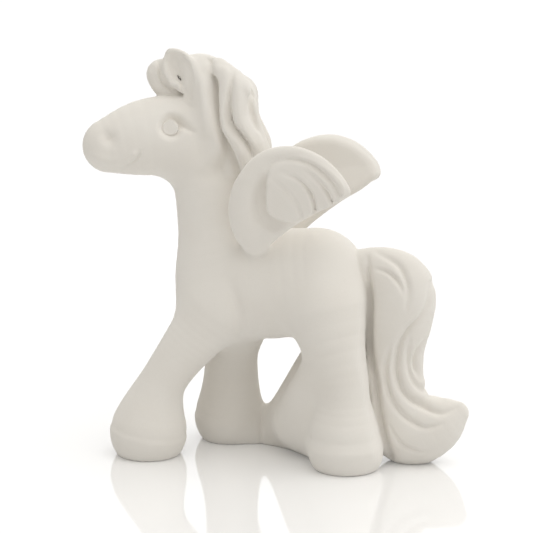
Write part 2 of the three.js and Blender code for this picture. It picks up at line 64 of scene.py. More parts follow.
# Sculpting: the clay, the frames that forms are made in, the forms and the tools
def smooth_line(rows, steps=4):
    """Points on a smooth curve through rows of numbers."""
    rows = np.array(rows, float)
    rows = np.vstack([2 * rows[0] - rows[1], rows, 2 * rows[-1] - rows[-2]])
    t = np.arange(steps)[:, None] / steps
    spans = [
        0.5 * (2 * b + (c - a) * t + (2 * a - 5 * b + 4 * c - d) * t**2 + (3 * b - a - 3 * c + d) * t**3)
        for a, b, c, d in zip(rows, rows[1:], rows[2:], rows[3:])
    ]
    return np.vstack(spans + [rows[-2:-1]])


def soft_min(a, b, softness):
    """The nearer of two distances, with a fillet about as wide as softness."""
    if softness <= 0:
        return np.minimum(a, b)
    near = np.maximum(softness - np.abs(a - b), 0) / softness
    return np.minimum(a, b) - near * near * (softness / 4)


def step_up(value, start, end):
    """0 below start, 1 above end, and a smooth rise between them."""
    t = np.clip((value - start) / (end - start), 0, 1)
    return t * t * (3 - 2 * t)


class Clay:
    """A block of clay on a grid. Each grid point holds its distance to the skin, negative inside, and
    the number of the form that it belongs to."""

    def __init__(self, low, high, cell):
        self.cell = cell
        self.low = np.array(low, float)
        count = np.ceil((np.array(high, float) - self.low) / cell).astype(int) + 1
        self.distance = np.full(count, FAR, np.float32)
        self.owner = np.zeros(count, np.int8)

    def window(self, low, high, margin):
        """The part of the grid round a box, and its points' coordinates."""
        first = np.floor((np.array(low) - margin - self.low) / self.cell).astype(int)
        last = np.ceil((np.array(high) + margin - self.low) / self.cell).astype(int) + 1
        first = np.maximum(first, 0)
        last = np.minimum(last, self.distance.shape)
        part = tuple(slice(a, b) for a, b in zip(first, last))
        axes = [
            (self.low[i] + self.cell * np.arange(first[i], last[i])).astype(np.float32) for i in range(3)
        ]
        return part, np.meshgrid(*axes, indexing="ij")

    def add(self, owner, form, softness=0.0):
        """Presses a form onto the clay."""
        part, points = self.window(*form.box, ADD_MARGIN)
        new = form.distance(points)
        old = self.distance[part]
        self.owner[part] = np.where(new < old, owner, self.owner[part])
        self.distance[part] = soft_min(old, new, softness)

    def carve(self, form, softness=0.0):
        """Cuts a form out of the clay."""
        part, points = self.window(*form.box, CUT_MARGIN)
        self.distance[part] = -soft_min(-self.distance[part], form.distance(points), softness)

    def press(self, tool):
        """Moves the skin in by the tool's depth, or out where that is negative."""
        box, depth_at = tool
        part, points = self.window(*box, CUT_MARGIN)
        self.distance[part] += depth_at(*points)


class Space:
    """A frame that a form is made in: into() takes points of the sculpting frame to its own."""

    def into(self, x, y, z):
        return x, y, z

    def box(self, low, high):
        return np.array(low, float), np.array(high, float)


class Placed(Space):
    """A frame that is turned and moved."""

    def __init__(self, turn, place):
        self.turn = np.array(turn, float)
        self.place = np.array(place, float)

    def into(self, x, y, z):
        q = [x - self.place[0], y - self.place[1], z - self.place[2]]
        return [sum(self.turn[i][j] * q[i] for i in range(3)).astype(np.float32) for j in range(3)]

    def out(self, point):
        return self.turn @ np.array(point, float) + self.place

    def box(self, low, high):
        corners = [
            self.out([x, y, z])
            for x in (low[0], high[0])
            for y in (low[1], high[1])
            for z in (low[2], high[2])
        ]
        return np.min(corners, 0), np.max(corners, 0)


class Sheared(Space):
    """A frame whose middle plane follows y = middle(z). Its own y is how far out a point lies. It is
    moved by an offset in x, z, and its back end is lifted by the rise."""

    def __init__(self, side, middle, offset=(0.0, 0.0), rise=0.0):
        self.side, self.middle, self.offset, self.rise = side, middle, offset, rise

    def into(self, x, y, z):
        x = x - self.offset[0]
        z = z - self.offset[1] - self.rise * x
        return x, self.side * y - self.middle(z), z

    def box(self, low, high):
        spread = [self.middle(np.float32(z)) for z in (low[2], high[2])]
        y = sorted([self.side * (low[1] + min(spread)), self.side * (high[1] + max(spread))])
        dx, dz = self.offset
        lift = sorted([self.rise * low[0], self.rise * high[0]])
        return (
            np.array([low[0] + dx, y[0], low[2] + dz + lift[0]]),
            np.array([high[0] + dx, y[1], high[2] + dz + lift[1]]),
        )


WORLD = Space()


def about_z(angle):
    """A turn that takes +x towards +y."""
    c, s = math.cos(angle), math.sin(angle)
    return np.array([[c, -s, 0], [s, c, 0], [0, 0, 1]])


def about_x(angle):
    """A turn that takes +z towards +y."""
    c, s = math.cos(angle), math.sin(angle)
    return np.array([[1, 0, 0], [0, c, s], [0, -s, c]])


class Limb:
    """A tube of changing radius along a smooth curve through rows of x, y, z, radius. Flatness is its
    width along y over its depth, measured from the plane y = middle."""

    def __init__(self, rows, flatness=1.0, middle=0.0, space=WORLD):
        self.line = smooth_line(rows)
        self.flatness, self.middle, self.space = flatness, middle, space
        at, r = self.line[:, :3], self.line[:, 3:]
        self.box = space.box((at - r).min(0), (at + r).max(0))
        self.middle_line = at.copy()
        self.line[:, 1] = (self.line[:, 1] - middle) / flatness

    def distance(self, points):
        x, y, z = self.space.into(*points)
        v = (y - self.middle) / self.flatness
        nearest = np.full(x.shape, FAR, np.float32)
        for a, b in zip(self.line, self.line[1:]):
            step = (b - a).astype(np.float32)
            a = a.astype(np.float32)
            t = (x - a[0]) * step[0] + (v - a[1]) * step[1] + (z - a[2]) * step[2]
            t = np.clip(t / max(float(step[:3] @ step[:3]), 1e-9), 0, 1)
            qx, qy, qz = x - a[0] - t * step[0], v - a[1] - t * step[1], z - a[2] - t * step[2]
            length = np.sqrt(qx * qx + qy * qy + qz * qz)
            stretch = np.sqrt(qx * qx + (qy / self.flatness) ** 2 + qz * qz) / np.maximum(length, 1e-6)
            d = (length - a[3] - t * step[3]) / np.maximum(stretch, 1e-6)
            nearest = np.minimum(nearest, d)
        return nearest


class Slab:
    """A slab with a smooth closed outline of rows x, z. It lies from y = inner to y = outer, and its
    edges are rounded."""

    def __init__(self, outline, inner, outer, rounding, space=WORLD):
        rows = np.array(outline, float)
        loop = smooth_line(np.vstack([rows, rows[:1]]))
        self.loop, self.space, self.rounding = loop, space, rounding
        self.inner, self.outer = inner, outer
        self.box = space.box(
            [loop[:, 0].min(), inner, loop[:, 1].min()], [loop[:, 0].max(), outer, loop[:, 1].max()]
        )

    def distance(self, points):
        x, y, z = self.space.into(*points)
        edge = outline_distance(x, z, self.loop) + self.rounding
        face = np.abs(y - (self.inner + self.outer) / 2) - (self.outer - self.inner) / 2 + self.rounding
        outside = np.sqrt(np.maximum(edge, 0) ** 2 + np.maximum(face, 0) ** 2)
        return (outside + np.minimum(np.maximum(edge, face), 0) - self.rounding).astype(np.float32)


def outline_distance(x, z, loop):
    """Distance in the plane to a closed outline, negative inside."""
    nearest = np.full(x.shape, FAR, np.float32)
    inside = np.zeros(x.shape, bool)
    for a, b in zip(loop.astype(np.float32), loop[1:].astype(np.float32)):
        step = b - a
        t = np.clip(((x - a[0]) * step[0] + (z - a[1]) * step[1]) / max(float(step @ step), 1e-9), 0, 1)
        nearest = np.minimum(nearest, np.hypot(x - a[0] - t * step[0], z - a[1] - t * step[1]))
        if step[1]:
            crosses = (a[1] > z) != (b[1] > z)
            inside ^= crosses & (x < a[0] + (z - a[1]) * (step[0] / step[1]))
    return np.where(inside, -nearest, nearest)


def groove(rows, space=WORLD, y_range=(-30, 30), only_out=None, side=1):
    """A modelling tool's mark along rows of x, z, width, depth, as its box and its depth at a point. A
    negative depth raises a ridge. With only_out it marks just the side where the space's own y times
    side is above that."""
    line = smooth_line(rows)
    reach = 2.2 * line[:, 2].max()
    low = [line[:, 0].min() - reach, y_range[0], line[:, 1].min() - reach]
    high = [line[:, 0].max() + reach, y_range[1], line[:, 1].max() + reach]

    def depth_at(x, y, z):
        x, y, z = space.into(x, y, z)
        depth = np.zeros(x.shape, np.float32)
        size = np.zeros(x.shape, np.float32)
        for a, b in zip(line.astype(np.float32), line[1:].astype(np.float32)):
            step = b[:2] - a[:2]
            t = np.clip(((x - a[0]) * step[0] + (z - a[1]) * step[1]) / max(float(step @ step), 1e-9), 0, 1)
            away = np.hypot(x - a[0] - t * step[0], z - a[1] - t * step[1])
            width, deep = a[2] + t * (b[2] - a[2]), a[3] + t * (b[3] - a[3])
            mark = np.exp(-((away / width) ** 2))
            deeper = mark * np.abs(deep) > size
            size = np.where(deeper, mark * np.abs(deep), size)
            depth = np.where(deeper, mark * deep, depth)
        if only_out is not None:
            depth = depth * step_up(side * y, only_out - 1, only_out + 1)
        return depth

    return space.box(low, high), depth_at


# Trunk and neck, in rows of x, y, z, radius
TRUNK = [[-9.5, 0, 60.5, 16.9], [6, 0, 62, 19.5], [22, 0, 65, 18]]
NECK = [[-11, 0, 62, 15.5], [-14.9, 0, 78.5, 13.3], [-17, 0, 96.5, 12.8], [-22.25, 0, 106.84, 11.8]]

# Legs: side, top's x and z, foot's x, and rows of the share of the way down, bow and radius
STANCE, HIP_SPREAD, FOOT_HEIGHT = 13.2, 8.5, 8.3
LEGS = {
    "left_foreleg": (LEFT, -13.8, 53, -36.8, [
        [0, 1, 11.5], [0.2, -1.2, 10], [0.38, -3, 8.7], [0.56, -4, 8.3], [0.72, -3.5, 9.7],
        [0.89, -1.7, 12.2], [1, 0, 13.9]]),
    "right_foreleg": (RIGHT, -9, 49, -13.8, [
        [0, 0, 12.5], [0.35, -1.5, 9.8], [0.6, -1.1, 9.9], [0.8, -0.4, 11], [1, 0, 12.7]]),
    "left_hind_leg": (LEFT, 28.1, 55, 36, [[0, 0, 14.1], [0.4, 2.5, 10.1], [0.68, 2, 9.4], [1, 0, 13.9]]),
    "right_hind_leg": (RIGHT, 25.5, 51, 10.6, [[0, 0, 13], [0.35, 5.3, 9.8], [0.65, 3.2, 9.7], [1, 0, 10.2]]),
}
FEET_BRIDGE = [[-13.8, 12.2, 2.5, 6], [10.6, 12.2, 2.5, 6]]

# Clay fills the space between the hind legs: rows of the step along both legs and the fill's radius,
# the shares of the way from the right leg to the left one that it spans, and its front.
HIND_WEB = [(5, 8), (6, 8.2), (7, 8.4), (8, 8.6), (9, 8.8), (10, 9), (11, 9.1), (12, 9.1)]
WEB_FROM, WEB_TO = 0.13, 0.61
WEB_FRONT = [
    [28.4, -9, 41, 6.5], [27.6, -9, 36, 7], [25, -8.5, 30, 7.8], [20, -5.5, 21, 8], [15, -1.5, 12, 7.5],
]

# Soft creases, in rows of x, z, width, depth: behind the left shoulder and between the two right feet
SHOULDER_CREASE = [
    [-5.5, 67, 2.4, 0.2], [-3.4, 60.5, 2.3, 1], [-2.2, 56.2, 2.2, 1.3], [-1.6, 51.1, 2.1, 1.3],
    [-3.2, 46, 2.2, 0.6],
]
FEET_CREASE = [[-0.5, 11, 1.1, 0.1], [-0.3, 8, 1, 0.7], [0, 5, 1, 1], [0, 0, 1, 1]]

# Head: its own frame has the middle of the cranium at the origin, and it faces -x. It is turned to the
# left, and its top leans to the right.
HEAD_TURN, HEAD_TILT = math.radians(25), math.radians(12)
CRANIUM = [-27.5, 0, 115.3]
HEAD = Placed(about_z(HEAD_TURN) @ about_x(HEAD_TILT), CRANIUM)
SKULL = [[0, 0, 0, 14], [-12.85, 0, -1.33, 13.4], [-25.7, 0, -3.8, 9.6]]


def leg(side, top_x, top_z, foot_x, shape):
    """A leg from its top to its foot, through rows of the share of the way down, bow and radius."""
    return Limb([
        [
            top_x + (foot_x - top_x) * share + bow,
            side * (HIP_SPREAD + (STANCE - HIP_SPREAD) * min(1, 2 * share)),
            top_z + (FOOT_HEIGHT - top_z) * share,
            radius,
        ]
        for share, bow, radius in shape
    ])


def head_and_body(clay):
    clay.add(BODY, Limb(TRUNK, flatness=0.9))
    clay.add(BODY, Limb(NECK, flatness=0.92), softness=12)
    clay.add(BODY, Limb(SKULL, flatness=0.88, space=HEAD), softness=7)
    for shape in LEGS.values():
        clay.add(BODY, leg(*shape), softness=7)
    clay.add(BODY, Limb(FEET_BRIDGE), softness=4)
    left, right = leg(*LEGS["left_hind_leg"]).middle_line, leg(*LEGS["right_hind_leg"]).middle_line
    for step, radius in HIND_WEB:
        ends = [right[step] + share * (left[step] - right[step]) for share in (WEB_FROM, WEB_TO)]
        clay.add(BODY, Limb([[*end, radius] for end in ends]), softness=6)
    clay.add(BODY, Limb(WEB_FRONT), softness=7)
    clay.press(groove(SHOULDER_CREASE, y_range=(-26, -6)))
    clay.press(groove(FEET_CREASE, y_range=(-4, 12)))


# Face, in the head's frame: the eye's x and z, and rows of x, z, width, depth, drawn on both cheeks.
# The marks of cheeks, forelock and ears begin at these distances from the head's middle plane.
HEAD_WIDTH, FORELOCK_WIDTH = (-20, 20), (-5.5, 5.5)
CHEEK_FROM, FORELOCK_FROM, EAR_FROM = 2.5, 1.5, 5.5
EYE = [-5.4, 1.4]
EYE_RADIUS, SOCKET_RADIUS, SOCKET_DEPTH = 2.9, 4.1, 2.6
LID = [
    [-7.6, 4.6, 0.8, 0.1], [-6.2, 5.6, 0.9, 0.7], [-4.4, 5.5, 1, 1.2], [-2.7, 4.6, 1.3, 1.9],
    [-1.5, 3.1, 1.5, 2.3], [-0.2, 1.5, 1.5, 2.2], [1.3, 0.2, 1.1, 1.3], [3, -1, 0.9, 0.2],
]
NOSTRIL = [[-27.6, -0.4, 1.8, 0.7], [-26.8, -1.8, 2.2, 1.8], [-26, -3.6, 1.8, 0.8]]
MOUTH = [
    [-32.6, -8.6, 1, 0], [-30.6, -10.6, 1, 0.1], [-27.5, -11.7, 0.9, 0.1], [-24, -12, 0.8, 0.2],
    [-21.3, -11.6, 0.7, 0.4], [-19.3, -10.6, 0.7, 0.8], [-17.8, -9.6, 0.7, 0.9], [-16.8, -8.3, 0.7, 0.9],
    [-16.1, -6.9, 0.7, 0.3],
]
LIP = [
    [-33, -6.5, 1.3, -0.1], [-30, -8.5, 1.5, -0.6], [-26, -9.6, 1.5, -0.5], [-21.5, -9, 1.5, -0.2],
    [-18.6, -7.6, 1.1, -0.6],
]
CHEEK_RIDGE = [
    [7.4, 8, 2.4, -0.3], [8.8, 4, 2.8, -0.9], [9.8, -0.5, 2.8, -1.4], [10, -5, 2.8, -1.6],
    [8.8, -9.5, 2.8, -1.3], [5.2, -12.4, 2.6, -0.6],
]
CHEEK_EDGE = [
    [13.8, -4, 1.6, 0.4], [14, -9, 1.9, 1.3], [12.4, -13.4, 2, 1.3], [9, -15.6, 2.1, 0.8],
    [5, -16.8, 2.2, 0.3],
]


def eye(side):
    """A flat eyeball in a socket. It stands out most at its upper back edge."""
    x0, z0 = EYE

    def depth_at(x, y, z):
        x, y, z = HEAD.into(x, y, z)
        away = np.hypot(x - x0, z - z0)
        socket = SOCKET_DEPTH * np.exp(-((away / SOCKET_RADIUS) ** 5))
        up_and_back = ((x - x0) + (z - z0)) / (math.sqrt(2) * EYE_RADIUS)
        height = SOCKET_DEPTH * (0.6 + 0.4 * np.clip(up_and_back, -1, 1))
        ball = height * (1 - step_up(away, EYE_RADIUS - 0.4, EYE_RADIUS + 0.2))
        return (socket - ball) * step_up(side * y, 3, 6)

    reach = 8
    inner, outer = HEAD_WIDTH
    return HEAD.box([x0 - reach, inner, z0 - reach], [x0 + reach, outer, z0 + reach]), depth_at


def face_marks():
    """The tools that are pressed into both sides of the head."""
    for side in (LEFT, RIGHT):
        yield eye(side)
        for rows in (LID, NOSTRIL, MOUTH, LIP):
            yield groove(rows, HEAD, HEAD_WIDTH, only_out=CHEEK_FROM, side=side)
        for rows in FORELOCK_MARKS:
            yield groove(rows, HEAD, FORELOCK_WIDTH, only_out=FORELOCK_FROM, side=side)
        for rows in EAR_MARKS:
            back = RIGHT_EAR_BACK if side == RIGHT else 0
            rows = [[x + back * (z - EAR_FOOT[2]), z, width, depth] for x, z, width, depth in rows]
            yield groove(rows, HEAD, HEAD_WIDTH, only_out=EAR_FROM, side=side)


# Tail: rows of x, y, z, radius, then the strands' grooves and the crease beside the left hind leg
TAIL = [
    [38, 0, 71, 5.3], [46, 0, 68.3, 9.1], [52, 0, 62.5, 12.4], [51.7, 0, 52.5, 12.2], [50.5, 0, 40.5, 10.5],
    [50.6, 0, 28, 11], [54.5, 0, 12, 12.6], [63.6, 0, 13.6, 11], [73, 0, 18.8, 4.4],
]
TAIL_GROOVES = [
    [[43.5, 76.5, 0.9, 0.3], [51.7, 73.3, 1, 1.2], [55.3, 68.9, 1.1, 1.5], [56.8, 63.6, 1.1, 1.2],
     [56, 57, 0.9, 0.2]],
    [[44.3, 71.1, 0.8, 0.2], [49.3, 70, 0.8, 1.1], [52.9, 67.3, 0.9, 1.4], [55.2, 62.8, 0.8, 0.2]],
    [[63.6, 66, 0.9, 0.5], [63.2, 59.7, 1, 1.4], [60.8, 54.5, 1, 1.4], [57, 50.4, 1.1, 1.8],
     [54.2, 45.5, 1.2, 2.2], [52.9, 39.7, 1.2, 2.3], [52.9, 33.9, 1.2, 2.3], [54.8, 28.2, 1.2, 2.3],
     [58.8, 24.1, 1.2, 2.2], [63.8, 21.5, 1.2, 1.8], [68.8, 20.1, 1.1, 1.2], [73, 21.4, 0.9, 0.3]],
    [[61.9, 46, 0.7, 0.3], [59.4, 40.9, 0.8, 1.6], [58.8, 36.2, 0.8, 1.6], [60.6, 31, 0.7, 0.3]],
    [[57.7, 47.9, 0.8, 0.2], [56.7, 42.8, 0.9, 1.1], [56.8, 36.3, 0.9, 1.2], [58.7, 30.6, 0.9, 1.2],
     [62.7, 26.2, 0.9, 0.9], [68.4, 24, 0.8, 0.2]],
    [[50.7, 44.2, 0.9, 0.2], [49.3, 39.5, 1, 1.1], [48.6, 34.3, 1.1, 1.5], [49.8, 27.9, 1.1, 1.6],
     [52.7, 22.2, 1.1, 1.6], [57.8, 17.5, 1.1, 1.5], [63.5, 15.3, 1, 1.1], [69.2, 16.4, 0.9, 0.2]],
    [[50.7, 15.2, 0.8, 0.2], [54, 9.9, 0.9, 0.9], [58.7, 6.9, 0.9, 0.9], [63.3, 6.2, 0.8, 0.2]],
]
TAIL_CREASE = [
    [41.4, 74, 0.9, 0.6], [42.2, 68.6, 1.1, 2], [43, 59.8, 1.3, 2.6], [42.8, 52.6, 1.3, 2.6],
    [42.5, 45.2, 1.3, 2.6], [43.3, 38.1, 1.3, 2.6], [45, 31.1, 1.3, 2.6], [46, 24.1, 1.3, 2.6],
    [47.4, 17, 1.3, 2.6], [49.3, 9.8, 1.3, 2.4], [50.8, 3.4, 1.3, 2],
]


def tail(clay):
    clay.add(TAIL_HAIR, Limb(TAIL, flatness=0.78), softness=0.8)
    clay.press(groove(TAIL_CREASE, y_range=(-20, 0), only_out=2, side=LEFT))


# Wings, in a frame that leans out with the wing. Their own y is 0 in the middle of their thickness.
WING_OUT, WING_LEAN, WING_LEAN_RATE = 15, 6, 1.3
WING_FOOT_HEIGHT, WING_HEIGHT = 79, 32
WING_MARKS_SPAN = (-6, 8)
RIGHT_WING_OFFSET, RIGHT_WING_RISE = (2.3, -4.2), 0.11
WING_ROLL = [
    [3.6, -2.2, 79, 3.6], [1.6, -0.8, 82, 4.7], [0.6, 0, 87, 5.2], [0.4, 0, 93, 5], [1.8, 0, 99, 4.6],
    [5, 0, 105, 3.9], [9.8, 0.2, 109.7, 3.1], [15, 0.8, 112.4, 2.3], [21, 1.2, 113, 1.9],
    [27.4, 1.3, 110.6, 1.8], [32.5, 1.3, 106.6, 1.7], [35.6, 1.2, 102.6, 1.7], [36.6, 1, 100, 1.5],
]
WING_WEB = [
    [-2.3, 80.6], [-4.1, 85.2], [-4.8, 90.4], [-4.2, 95.7], [-2.6, 100.7], [-0.1, 105], [3.1, 109.6],
    [7.4, 112.9], [12, 114.5], [17.2, 115.1], [22.5, 114.2], [27.8, 112], [32.3, 108.7], [35.8, 104.7],
    [37.9, 101], [37.4, 98.9], [35.3, 97.4], [31.8, 95], [25.9, 92], [21, 88.9], [15.5, 85], [11.9, 82.1],
    [8.6, 79.2], [5, 76.6], [1.5, 76.2],
]
WING_FAN = [
    [9.6, 103], [9.1, 97.5], [9.3, 92.3], [12.5, 89.6], [17.5, 88.8], [21.1, 89.4], [25.9, 92.2],
    [31.8, 95.2], [35.3, 97.8], [37, 99.8], [37, 102.5], [33.7, 106.8], [28, 110.6], [22, 112.6],
    [15.5, 112], [11.3, 108.5],
]
FEATHER_LINES = [
    [[11, 104.5, 1, 0.1], [15.5, 101.3, 1, 0.4], [18.7, 97.6, 1, 0.5], [20.5, 93.5, 1, 0.6],
     [21.2, 89, 1, 0.6]],
    [[14.8, 106.9, 1, 0.1], [20.4, 104.9, 0.8, 0.8], [23.9, 101.3, 0.7, 1.3], [25.9, 96.9, 0.7, 1.6],
     [26.3, 91.5, 0.7, 1.7]],
    [[23.2, 107.8, 0.9, 0.1], [28.1, 103.9, 0.8, 0.8], [31.1, 99.5, 0.7, 1.3], [32.9, 94.5, 0.7, 1.6]],
]
RIM_GROOVE = [
    [9.8, 108.4, 1.4, 0.2], [13.6, 110.6, 1.2, 0.8], [18.8, 111.4, 1.1, 1.2], [24.2, 110.4, 1, 1.3],
    [29, 107.5, 1, 1.3], [33, 103.4, 0.9, 1.3], [35, 99.6, 0.9, 1],
]
WING_HOLLOW = [
    [8.8, 104.5, 1.8, 0.6], [8.3, 100, 2.9, 3.4], [8.2, 94.5, 3.3, 4.3], [9.8, 89.8, 3.2, 4.1],
    [13, 87.8, 2.6, 3.3], [17, 87.8, 2, 1.6],
]


def wing_middle(z):
    """How far out the middle of a wing's thickness lies at a height."""
    return WING_OUT + WING_LEAN * np.clip(WING_LEAN_RATE * (z - WING_FOOT_HEIGHT) / WING_HEIGHT, -0.2, 1)


def wing_space(side):
    if side == RIGHT:
        return Sheared(side, wing_middle, RIGHT_WING_OFFSET, RIGHT_WING_RISE)
    return Sheared(side, wing_middle)


def wing(clay, owner, side):
    space = wing_space(side)
    clay.add(owner, Slab(WING_WEB, inner=-3.2, outer=2.4, rounding=2.4, space=space), softness=3)
    clay.add(owner, Limb(WING_ROLL, flatness=0.8, space=space), softness=2)
    clay.press(groove(WING_HOLLOW, space, WING_MARKS_SPAN, only_out=0))
    clay.add(owner, Slab(WING_FAN, inner=-2.4, outer=3.7, rounding=0.7, space=space), softness=0.5)


# Mane, in rows of x, y, z, radius
CREST = [
    [-24, 2, 138.8, 4.2], [-19.4, 2.5, 138.6, 4.6], [-13, 2.5, 134.6, 5.6], [-7, 2, 128.5, 6.2],
    [-5.5, 1.6, 121, 6], [-3.5, 1, 114, 5.8], [-1.5, 0.5, 107, 5.4], [1.8, 0, 99.5, 4.1],
]
NAPE = [[-16, -1, 131, 6], [-13.5, -1.5, 123, 6.2], [-11.5, -2, 114, 6.4], [-8, -2, 104, 6.2]]
POLL_LOCK = [
    [-21, 1, 137.5, 4], [-17.4, -1.8, 132.5, 4.6], [-16.2, -3.8, 126, 4.8], [-15.8, -5.4, 119, 4.8],
    [-15, -5, 111, 4.6],
]
# Locks of the left side. The first two are mirrored onto the right side, a little further forward and down.
LOCKS = [
    [[-15.3, -1.3, 138, 3.9], [-10.5, -4.8, 135.5, 3.9], [-9.5, -6.3, 130, 3.9], [-9.2, -6.7, 124.5, 3.7],
     [-8.3, -6.9, 120, 3.6], [-5.6, -7.1, 115.5, 3.8], [-2.6, -6.9, 110.5, 3.9], [-1.3, -6.3, 105.5, 3.7],
     [-1.3, -5.3, 100, 3]],
    [[-14, 0, 138.2, 4.2], [-8, -2.4, 134.4, 4.3], [-4.9, -4.9, 131.5, 4.2], [-4.6, -5.9, 127, 4],
     [-3.9, -6.2, 122, 3.8], [-1.8, -6.2, 118, 3.6], [0.6, -5.8, 113.5, 3.5], [1.8, -5.4, 109, 3]],
    [[-10, 2, 134.6, 3.6], [-4.9, 0.5, 129.8, 3.6], [-2.8, -1.5, 126.4, 3.4], [-1.5, -2.5, 121.5, 3.4],
     [0.6, -2.8, 115.5, 3.3], [3, -2.6, 110, 3]],
]
MANE_MIDDLE = 1.5
ACROSS_FORWARD, ACROSS_DOWN = 1, 1.6

# Marks on the mane's left side, in rows of x, z, width, depth
MANE_CREASES = [
    [[-17.4, 142.4, 1.2, 0.4], [-15.6, 139, 1.3, 1.4], [-14.4, 135.2, 1.4, 2], [-13.4, 130.1, 1.4, 2.3],
     [-12.1, 124.9, 1.4, 2.2], [-10.3, 117.9, 1.4, 1.8], [-7.7, 111, 1.5, 1.6], [-6.1, 107, 1.6, 1.4],
     [-4, 103, 1.6, 0.8]],
    [[-8.4, 139.6, 0.9, 0.1], [-7.1, 137.2, 1.1, 0.6], [-7, 133, 1.2, 1.2], [-7.4, 128.9, 1.3, 1.6],
     [-7.3, 122.6, 1.4, 1.9], [-5.9, 119.1, 1.4, 1.9], [-2.5, 115.6, 1.3, 1.8], [0, 111.5, 1.2, 1.6],
     [0.4, 108.7, 1.1, 0.8]],
    [[-3.1, 133.4, 0.9, 0.2], [-2, 130.3, 1.1, 1.1], [-1.3, 125.3, 1.2, 1.6], [0, 121.1, 1.1, 1.3],
     [2.1, 115, 1, 0.5]],
]
MANE_RIDGES = [
    [[-20.5, 141.5, 1.6, -0.3], [-18.6, 136, 1.7, -0.9], [-17.2, 130, 1.7, -1], [-16, 124, 1.7, -0.9],
     [-15, 117, 1.6, -0.5]],
    [[-10.8, 129, 2, -0.1], [-9.6, 122, 2, -0.5], [-7, 115, 2, -0.6], [-3.6, 110, 1.8, -0.4]],
    [[-9.5, 140.6, 1.6, -0.3], [-4.9, 135.5, 1.8, -0.6], [-4.3, 129, 1.9, -0.7], [-4.2, 123, 1.8, -0.7],
     [-2, 118.6, 1.7, -0.7], [1.2, 114, 1.6, -0.6], [2, 110, 1.4, -0.3]],
]
MANE_POCKET = [[-14.6, 139, 2.4, 1], [-12.2, 136.6, 3, 1.7], [-11.6, 132, 2.8, 1.5], [-11, 127, 2.4, 0.7]]


def mane(clay):
    clay.add(MANE, Limb(CREST, flatness=1.25, middle=2), softness=1.5)
    clay.add(MANE, Limb(NAPE), softness=1.5)
    clay.add(MANE, Limb(POLL_LOCK), softness=3)
    for rows in LOCKS:
        clay.add(MANE, Limb(rows), softness=0.8)
    for rows in LOCKS[:2]:
        across = [[x - ACROSS_FORWARD, 2 * MANE_MIDDLE - y, z - ACROSS_DOWN, r] for x, y, z, r in rows]
        clay.add(MANE, Limb(across), softness=0.8)
    for rows in [*MANE_RIDGES, MANE_POCKET, *MANE_CREASES]:
        clay.press(groove(rows, y_range=(-16, -2.5)))


# Ears: the foot and the turn in the head's frame, and rows of x, y, z, radius in the left ear's own frame
EAR_TURN = math.radians(42)
EAR_FOOT = [2.9, 8, 11.3]
EAR_LEAF = [
    [0.3, 0, 0, 3.4], [0.2, -0.3, 4.1, 4.1], [-0.8, -1.2, 7, 5.3], [-2, -2.1, 10.2, 5.8],
    [-3.8, -3, 12.9, 4.9], [-5.4, -3.7, 15.6, 2.6],
]
EAR_CUP = [
    [1.3, -1.8, 0.8, 2.3], [0.7, -2.5, 4.1, 3.1], [-0.5, -3.7, 7, 4.4], [-1.8, -4.6, 10.2, 5],
    [-3.7, -4.9, 12.9, 4], [-5.3, -5.5, 15.1, 1.7],
]
RIGHT_EAR_BACK = 0.25

# Forelock, in rows of x, y, z, radius in the head's frame
FORELOCK_CURL = [[4, 0, 19, 4.4], [-4.4, 0, 22, 4.4], [-7.4, 0, 21, 4.2], [-5.2, 0, 16.4, 4], [0, 0, 14, 4.2]]

# Rows of x, z, width, depth on the ear's hollow side and on the forelock, in the head's frame
EAR_MARKS = [
    [[-1.6, 25.5, 0.9, 0.1], [-1.3, 22, 0.9, 0.4], [-1, 18.5, 1, 0.6], [-0.1, 15.5, 1, 0.6],
     [0.6, 13.2, 0.9, 0.3]],
    [[1, 24, 1.2, -0.3], [1.5, 20, 1.2, -0.9], [1.9, 16, 1.2, -0.9], [2.2, 12.6, 1.1, -0.5]],
]
FORELOCK_MARKS = [
    [[-5.6, 25.5, 1.1, -0.5], [-5.4, 21.5, 1.1, -1.3], [-4.8, 19, 1.1, -1.4], [-3.2, 17.1, 1.1, -1.3],
     [-1.2, 16, 1.1, -1], [0.6, 15.4, 1, -0.4]],
    [[-7.6, 25, 0.8, 0.5], [-7.5, 21.8, 0.8, 1.2], [-6.9, 18.7, 0.8, 1.2], [-5.2, 16.6, 0.8, 1],
     [-3, 15, 0.8, 0.5]],
    [[-9.9, 22.5, 1.4, 0.3], [-9.4, 20, 1.4, 0.6], [-8.4, 17.5, 1.4, 0.6], [-6.2, 15.2, 1.2, 0.4]],
]


def ear(clay, owner, side):
    """A leaf whose tip leans forward, hollowed on the side that faces forward and out. Its rows are for
    the left ear, and the right one leans back."""
    foot = HEAD.out([EAR_FOOT[0], side * EAR_FOOT[1], EAR_FOOT[2]])
    space = Placed(HEAD.turn @ about_z(side * EAR_TURN), foot)
    back = RIGHT_EAR_BACK if side == RIGHT else 0

    def rows(shape):
        return [[x + back * z, -side * y, z, r] for x, y, z, r in shape]

    clay.add(owner, Limb(rows(EAR_LEAF), flatness=0.5, space=space), softness=0.6)
    clay.carve(Limb(rows(EAR_CUP), flatness=0.6, space=space), softness=0.5)


def forelock(clay):
    clay.add(FORELOCK, Limb(FORELOCK_CURL, space=HEAD), softness=0.6)


